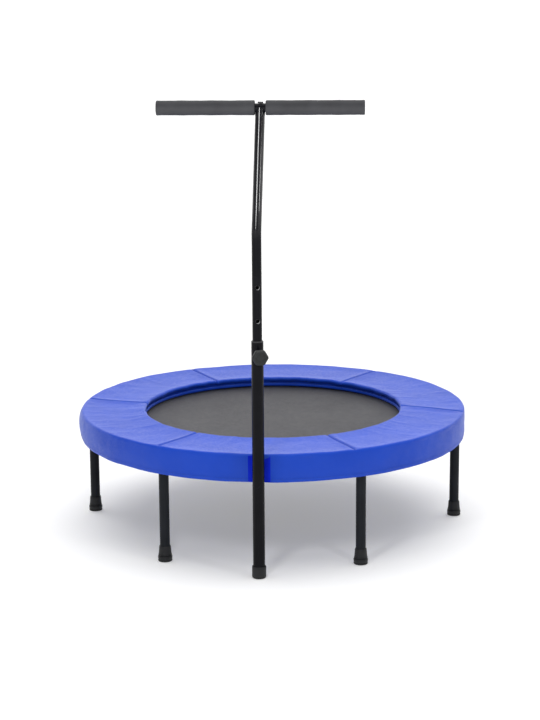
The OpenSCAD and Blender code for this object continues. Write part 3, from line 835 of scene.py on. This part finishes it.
def make_mat():
    """The jumping mat: a taut woven disc, with its edge turned in the hem."""
    rings = [0.0] + [MAT_HI.x * (k / 40) ** 0.8 for k in range(1, 41)]
    segments = 180
    half = (MAT_HI.z - MAT_LO.z) / 2 - 0.0001
    bm = bmesh.new()
    flat = bm.loops.layers.uv.new("flat")

    def height(x, y):
        r = math.hypot(x, y)
        taut = -0.0012 * (1 - (r / MAT_HI.x) ** 2)
        return taut + wobble(x * 7, y * 7, 1.0, 0.0006) * min(1, (MAT_HI.x - r) / 0.05)

    for side in (1, -1):
        centre = bm.verts.new((0, 0, MAT_Z + side * half + height(0, 0)))
        previous = None
        for r in rings[1:]:
            ring = []
            for k in range(segments):
                a = 2 * math.pi * k / segments
                x, y = r * math.cos(a), r * math.sin(a)
                ring.append(bm.verts.new((x, y, MAT_Z + side * half + height(x, y))))
            for k in range(segments):
                after = (k + 1) % segments
                corners = [centre, ring[k], ring[after]] if previous is None else \
                    [previous[k], ring[k], ring[after], previous[after]]
                bm.faces.new(corners if side > 0 else corners[::-1])
            previous = ring
        if side > 0:
            upper = previous
    for k in range(segments):
        after = (k + 1) % segments
        bm.faces.new([upper[k], previous[k], previous[after], upper[after]])
    for face in bm.faces:
        face.smooth = True
        for loop in face.loops:
            loop[flat].uv = (loop.vert.co.x, loop.vert.co.y)
    mesh = bpy.data.meshes.new("jumping_mat")
    bm.to_mesh(mesh)
    bm.free()
    piece = add_object("jumping_mat", smooth(mesh, 50), MAT_CLOTH, "mat", ["mat"])


def make_hem():
    """Webbing folded over the mat's edge."""
    segments = 288
    rows = []
    for k in range(segments):
        azimuth = k * 360 / segments
        a = math.radians(azimuth)
        pucker = 0.0002 * math.sin(k * math.pi / 2) + wobble(math.cos(a) * 30, math.sin(a) * 30, 0, 0.0003)
        inner = HEM_R - HEM_W
        top, low = HEM_HI.z + pucker - 0.0003, HEM_LO.z - pucker + 0.0003
        edge = arc_points((HEM_R - 0.002, RING_Z), 0.002, -80, 80, 6)
        outer = [(inner, low), (inner + 0.008, low - 0.0001)] + edge
        outer += [(inner + 0.008, top + 0.0001), (inner, top)]
        within = [(inner, MAT_HI.z + 0.0002), (HEM_R - 0.0027, MAT_HI.z + 0.0002),
                  (HEM_R - 0.0027, MAT_LO.z - 0.0002), (inner, MAT_LO.z - 0.0002)]
        rows.append([ring_point(azimuth, r, z) for r, z in outer + within])
    step = 2 * math.pi * HEM_R / segments
    mesh = grid_mesh("mat_edge_webbing", rows, close_rows=True, uv=lambda i, j: (i * step, j * 0.003))
    piece = add_object("mat_edge_webbing", smooth(mesh, 50), WEBBING, "mat", ["mat_hem"])


make_mat()
make_hem()

TAB_W = 0.020
TAB_BAR_R = HEM_R + 0.0045
V_WIRE = 0.0018
V_HALF = 0.018
V_DEPTH = 0.018


def spring_azimuth(index):
    return (index + 0.5) * 360 / SPRINGS


def from_ring(azimuth, outward, sideways, z):
    """A point by its distance from the ring's axis and its offset along the ring."""
    out = ring_point(azimuth, 1, 0)
    along = Vector((-out.y, out.x, 0))
    return out * outward + along * sideways + Vector((0, 0, z))


def make_tabs():
    """A webbing tab for each V-ring, folded around its bar and sewn to the hem."""
    tabs = []
    inner = HEM_R - HEM_W + 0.002
    upper, lower = HEM_HI.z + 0.0003, HEM_LO.z - 0.0003
    wrap = V_WIRE + 0.0003
    for index in range(SPRINGS):
        azimuth = spring_azimuth(index)
        path = [(inner, upper + 0.0004), (HEM_R - 0.004, upper + 0.0004), (HEM_R + 0.0015, upper - 0.0001)]
        path += arc_points((TAB_BAR_R, MAT_Z), wrap, 80, -80, 8)
        path += [(HEM_R + 0.0015, lower + 0.0001), (HEM_R - 0.004, lower - 0.0004), (inner, lower - 0.0004)]
        outside = []
        for k, (r, z) in enumerate(path):
            a, b = path[max(0, k - 1)], path[min(len(path) - 1, k + 1)]
            long = math.dist(a, b)
            outside.append((r - (b[1] - a[1]) / long * CLOTH_T, z + (b[0] - a[0]) / long * CLOTH_T))
        section = path + outside[::-1]
        rows = [[from_ring(azimuth, r, s * TAB_W / 2, z) for r, z in section] for s in (-1, -0.5, 0, 0.5, 1)]
        tabs.append(grid_mesh("tab", rows, caps=True, uv=lambda i, j: (i * 0.005, j * 0.003)))
    mesh = smooth(join_meshes("spring_tabs", tabs), 50)
    add_object("spring_tabs", mesh, WEBBING, "mat", ["mat_tabs"])


def make_v_rings():
    """Triangles of bent wire with rounded corners."""
    meshes = []
    corners = [(0, -V_HALF), (0, V_HALF), (V_DEPTH, 0)]
    cut = 0.0045
    for index in range(SPRINGS):
        azimuth = spring_azimuth(index)
        path = []
        for k, corner in enumerate(corners):
            before, after = Vector(corners[k - 1]), Vector(corners[(k + 1) % 3])
            here = Vector(corner)
            a = here + (before - here).normalized() * cut
            b = here + (after - here).normalized() * cut
            for t in (0, 0.25, 0.5, 0.75, 1):
                p = a * (1 - t) ** 2 + here * 2 * t * (1 - t) + b * t ** 2
                path.append(from_ring(azimuth, TAB_BAR_R + p.x, p.y, MAT_Z))
        meshes.append(tube_mesh("v", path, V_WIRE, 8, closed=True))
    add_object("spring_v_rings", join_meshes("spring_v_rings", meshes), ZINC, "mat",
               ["v_rings"])


def make_springs():
    """Close-wound tension springs with a hook at each end, stretched between the mat and the ring."""
    coil_r, wire, hook_r = 0.0052, 0.0011, 0.0034
    turns, sides = 22, 12
    steps = turns * sides
    v_tip = TAB_BAR_R + V_DEPTH - 0.0016
    coil_in = v_tip + 0.011
    coil_out = RING_R - RING_TUBE_R - 0.009
    wall = RING_R - RING_TUBE_R
    for index in range(SPRINGS):
        azimuth = spring_azimuth(index)
        path = []
        for t in range(9):
            a = math.radians(20 + t * 20)
            path.append((v_tip - 0.0004 + hook_r - hook_r * math.cos(a), 0, -hook_r * math.sin(a)))
        path.append((coil_in - 0.003, 0, -0.0012))
        for k in range(steps + 1):
            a = 2 * math.pi * k / sides
            taper = min(1, k / 10 + 0.35, (steps - k) / 10 + 0.35)
            path.append((coil_in + (coil_out - coil_in) * k / steps, coil_r * taper * math.sin(a),
                         coil_r * taper * math.cos(a)))
        path += [(coil_out + 0.003, 0, 0.0012), (wall - 0.001, 0, 0.0), (wall + 0.004, 0, -0.0003),
                 (wall + 0.0062, 0, -0.002), (wall + 0.0066, 0, -0.0048)]
        points = [from_ring(azimuth, x, y, MAT_Z + z) for x, y, z in path]
        mesh = tube_mesh(f"spring_{index + 1:02d}", points, wire, 6)
        piece = add_object(mesh.name, mesh, ZINC)
        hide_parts("springs")
        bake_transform(piece)


make_tabs()
make_v_rings()
make_springs()

# ---- rubber, foam and plastic pieces ----


def upright(node):
    lo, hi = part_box(node)
    return Matrix.Translation(((lo.x + hi.x) / 2, (lo.y + hi.y) / 2, 0)), hi.z - lo.z, (hi.x - lo.x) / 2


FOOT_BORE = 0.0126
FOOT_BASE = 0.0158
SOLE = 0.0085


def make_feet():
    """The legs' stepped rubber feet, and the plain cap under the post."""
    for name in FEET:
        place, tall, r = upright(name)
        bore, base = FOOT_BORE, FOOT_BASE
        neck = bore + 0.0017
        profile = [(0, 0), (r - 0.0040, 0), (r - 0.0030, 0.0006), (r - 0.0012, 0.0008), (r - 0.0004, 0.0018),
                   (r - 0.0002, 0.004), (r - 0.0009, 0.0052), (r - 0.0009, 0.0066), (r - 0.0002, 0.0078),
                   (r - 0.0001, base - 0.003), (r - 0.0009, base - 0.0008), (r - 0.0026, base + 0.0002),
                   (neck + 0.0024, base + 0.0014), (neck + 0.0017, base + 0.004),
                   (neck + 0.0009, tall * 0.72), (neck + 0.0004, tall - 0.003),
                   (neck - 0.0003, tall - 0.0006), (neck - 0.0009, tall), (bore + 0.0002, tall - 0.0004),
                   (bore, tall - 0.002), (bore, SOLE), (0, SOLE)]
        mesh = lathe(f"rubber_{name}", profile, place, 48)
        add_object(mesh.name, mesh, RUBBER, "frame", [name])
    place, tall, r = upright("post_cap")
    bore = POST_R + 0.0001
    profile = [(0, 0), (r - 0.0055, 0)] + arc_points((r - 0.0042, 0.0042), 0.0042, -80, 0, 5)
    profile += [(r, tall - 0.002), (r - 0.0005, tall - 0.0006), (r - 0.0014, tall),
                (bore + 0.0002, tall - 0.0003), (bore, tall - 0.002), (bore, SOLE), (0, SOLE)]
    mesh = lathe("rubber_post_cap", profile, place, 64)
    add_object(mesh.name, mesh, RUBBER, "frame", ["post_cap"])


def bar_frame():
    """The crossbar's middle and its direction, from the grips of the CAD."""
    left = np.array([v.co for v in frame["nodes"]["grip_left"].data.vertices]).mean(0)
    right = np.array([v.co for v in frame["nodes"]["grip_right"].data.vertices]).mean(0)
    along = Vector(right - left).normalized()
    middle = Vector((left + right) / 2)
    return middle, along


def axis_matrix(origin, along, side=None):
    """A placing matrix with its Z along a direction."""
    z = along.normalized()
    x = (side - z * side.dot(z)).normalized() if side else z.orthogonal().normalized()
    y = z.cross(x)
    m = Matrix((x, y, z)).transposed().to_4x4()
    m.translation = origin
    return m


def span_along(node, origin, along):
    """How far a node reaches along a direction from a point, and its largest radius about that line."""
    points = np.array([v.co for v in frame["nodes"][node].data.vertices]) - np.array(origin)
    t = points @ np.array(along)
    away = points - np.outer(t, np.array(along))
    return float(t.min()), float(t.max()), float(np.linalg.norm(away, axis=1).max())


def make_grips():
    middle, along = bar_frame()
    bar_r = span_along("crossbar", middle, along)[2]
    for name, way in (("grip_left", -along), ("grip_right", along)):
        near, far, r = span_along(name, middle, way)
        place = axis_matrix(middle, way)
        length = far - near
        bore = bar_r + 0.0002
        profile = [(bore, near + 0.0004), (bore + 0.0006, near), (r - 0.0030, near)]
        profile += arc_points((r - 0.0026, near + 0.0026), 0.0026, 270, 360, 4)
        for k in range(1, 24):
            share = k / 24
            swell_by = 0.00018 * math.sin(share * 19) + 0.00012 * math.sin(share * 43 + 1)
            profile.append((r - 0.00025 + swell_by, near + 0.003 + (length - 0.006) * share))
        profile += arc_points((r - 0.0026, far - 0.0026), 0.0026, 0, 90, 4) + [(r - 0.0030, far)]
        profile += [(bore + 0.0006, far), (bore, far - 0.0004)]
        mesh = lathe(f"foam_{name}", profile, place, 64)
        piece = add_object(mesh.name, mesh, GRIP, "handle", [name])


KNOB_CORNER = 0.965
KNOB_FLAT = 0.885


def make_knob():
    """A clamp knob: a hexagon with rounded corners and a slightly dished face."""
    joint = next(j for j in frame["joints"] if j["name"] == "clamp_knob_turn")
    axis = Vector(joint["axis"])
    origin = Vector(joint["pos_m"])
    near, far, r = span_along("clamp_knob", origin, axis)
    place = axis_matrix(origin, axis, Vector((0, 0, 1)))
    screw_r = 0.00406
    neck_r, neck_far = 0.009, near + 0.006
    sections = [
        (near, neck_r - 0.0012, 0), (near + 0.0008, neck_r, 0), (neck_far - 0.001, neck_r, 0),
        (neck_far, neck_r + 0.0012, 0), (neck_far + 0.0006, r - 0.007, 0.5),
        (neck_far + 0.0010, r - 0.0030, 0.9),
        (neck_far + 0.0026, r - 0.0008, 1), (neck_far + 0.0045, r, 1), (far - 0.0050, r, 1),
        (far - 0.0026, r - 0.0007, 1), (far - 0.0009, r - 0.0026, 1), (far, r - 0.0050, 0.9),
        (far - 0.0001, r - 0.0085, 0.4), (far - 0.0012, r - 0.0095, 0.15), (far - 0.0014, 0.0045, 0),
        (far - 0.0014, 0.0, 0)]
    segments = 96
    rows = []
    for k in range(segments):
        t = 2 * math.pi * k / segments
        row = [place @ Vector((screw_r * math.cos(t), screw_r * math.sin(t), near + 0.012)),
               place @ Vector((screw_r * math.cos(t), screw_r * math.sin(t), near + 0.0004))]
        for z, radius, faceted in sections:
            off = (t + math.pi / 6) % (math.pi / 3) - math.pi / 6
            across = min(KNOB_CORNER, KNOB_FLAT / math.cos(off))
            here = radius * (1 - faceted * (1 - across))
            row.append(place @ Vector((here * math.cos(t), here * math.sin(t), z)))
        rows.append(row)
    mesh = grid_mesh("knob_hexagon", rows, close_rows=True, close_ring=False)
    bm = bmesh.new()
    bm.from_mesh(mesh)
    bmesh.ops.remove_doubles(bm, verts=bm.verts, dist=1e-6)
    bmesh.ops.holes_fill(bm, edges=[e for e in bm.edges if len(e.link_faces) == 1], sides=segments)
    bm.to_mesh(mesh)
    bm.free()
    add_object("knob_hexagon", smooth(mesh, 40), KNOB, "clamp_knob", ["clamp_knob"])


make_feet()
make_grips()
make_knob()

# ---- finishes of the CAD nodes that stay ----

FINISHES = {
    PAINT: ["ring_front", "ring_rear", "ring_sleeves", "post", "post_bracket", "clamp_boss", "crossbar"],
    HANDLE_PAINT: ["handle_tube"],
    LEG_PAINT: ["leg_bosses", *LEGS],
    ZINC: ["ring_screws", "bracket_bolts", "bracket_washers", "clamp_screw", "handle_top_plug"],
    INSERT: ["height_inserts"],
    PLASTIC: ["leg_plugs", "post_bush", "handle_glide", "crossbar_caps", "crossbar_bolt"],
}


def paint_nodes():
    for material, names in FINISHES.items():
        for name in names:
            mesh = frame["nodes"][name].data
            mesh.materials.clear()
            mesh.materials.append(material)


paint_nodes()

# ---- floor and light ----

FLOOR_HALF = 400.0
FLOOR_GLOW = 0.25
ROOM_FRONT = 0.26
ROOM_BACK = 1.5
SUN = 2.1
SUN_SPREAD = 70
# upright lamps before the handle, by their azimuth and width, which show as streaks on its tube
STRIPS = [(-15, 0.15), (52, 0.07)]
STRIP_TALL = 0.36
STRIP_Z = 1.06
STRIP_BACK = 0.8
STRIP_GLOW = 26


def make_floor():
    size = FLOOR_HALF
    mesh = bpy.data.meshes.new("floor")
    corners = [(-size, -size, 0), (size, -size, 0), (size, size, 0), (-size, size, 0)]
    mesh.from_pydata(corners, [], [(0, 1, 2, 3)])
    floor = bpy.data.objects.new("floor", mesh)
    bpy.context.scene.collection.objects.link(floor)
    n = Nodes("floor", Specular_IOR_Level=0.1, Roughness=0.9, Emission_Strength=FLOOR_GLOW)
    n.shader.inputs["Emission Color"].default_value = (1, 1, 1, 1)
    mesh.materials.append(n.finish(n.ramp(n.noise(1.5, 2.0), [(0.3, 0.76), (0.7, 0.78)])))


def make_light():
    """A wide soft light from above, two upright lamps, and a white room that is brightest behind."""
    world = bpy.data.worlds.new("studio")
    world.use_nodes = True
    tree = world.node_tree
    background = tree.nodes["Background"]
    background.inputs["Color"].default_value = (1, 1, 1, 1)
    way = tree.nodes.new("ShaderNodeTexCoord")
    parts = tree.nodes.new("ShaderNodeSeparateXYZ")
    level = tree.nodes.new("ShaderNodeMapRange")
    for name, value in (("From Min", 0.0), ("From Max", 1.0), ("To Min", ROOM_FRONT), ("To Max", ROOM_BACK)):
        level.inputs[name].default_value = value
    tree.links.new(way.outputs["Generated"], parts.inputs[0])
    tree.links.new(parts.outputs["Y"], level.inputs["Value"])
    tree.links.new(level.outputs["Result"], background.inputs["Strength"])
    bpy.context.scene.world = world
    data = bpy.data.lights.new("overhead", "SUN")
    data.energy = SUN
    data.angle = math.radians(SUN_SPREAD)
    light = bpy.data.objects.new("overhead", data)
    bpy.context.scene.collection.objects.link(light)
    light.rotation_euler = (math.radians(-8), 0, math.radians(-12))
    for turn, width in STRIPS:
        data = bpy.data.lights.new("strip", "AREA")
        data.shape = "RECTANGLE"
        data.size, data.size_y = width, STRIP_TALL
        data.energy = math.pi * width * STRIP_TALL * STRIP_GLOW
        strip = bpy.data.objects.new("strip", data)
        bpy.context.scene.collection.objects.link(strip)
        a = math.radians(turn)
        strip.location = (STRIP_BACK * math.sin(a), POST_Y - STRIP_BACK * math.cos(a), STRIP_Z)
        strip.rotation_euler = (math.radians(90), 0, a)
    bpy.context.scene.view_settings.view_transform = "Standard"


make_floor()
make_light()
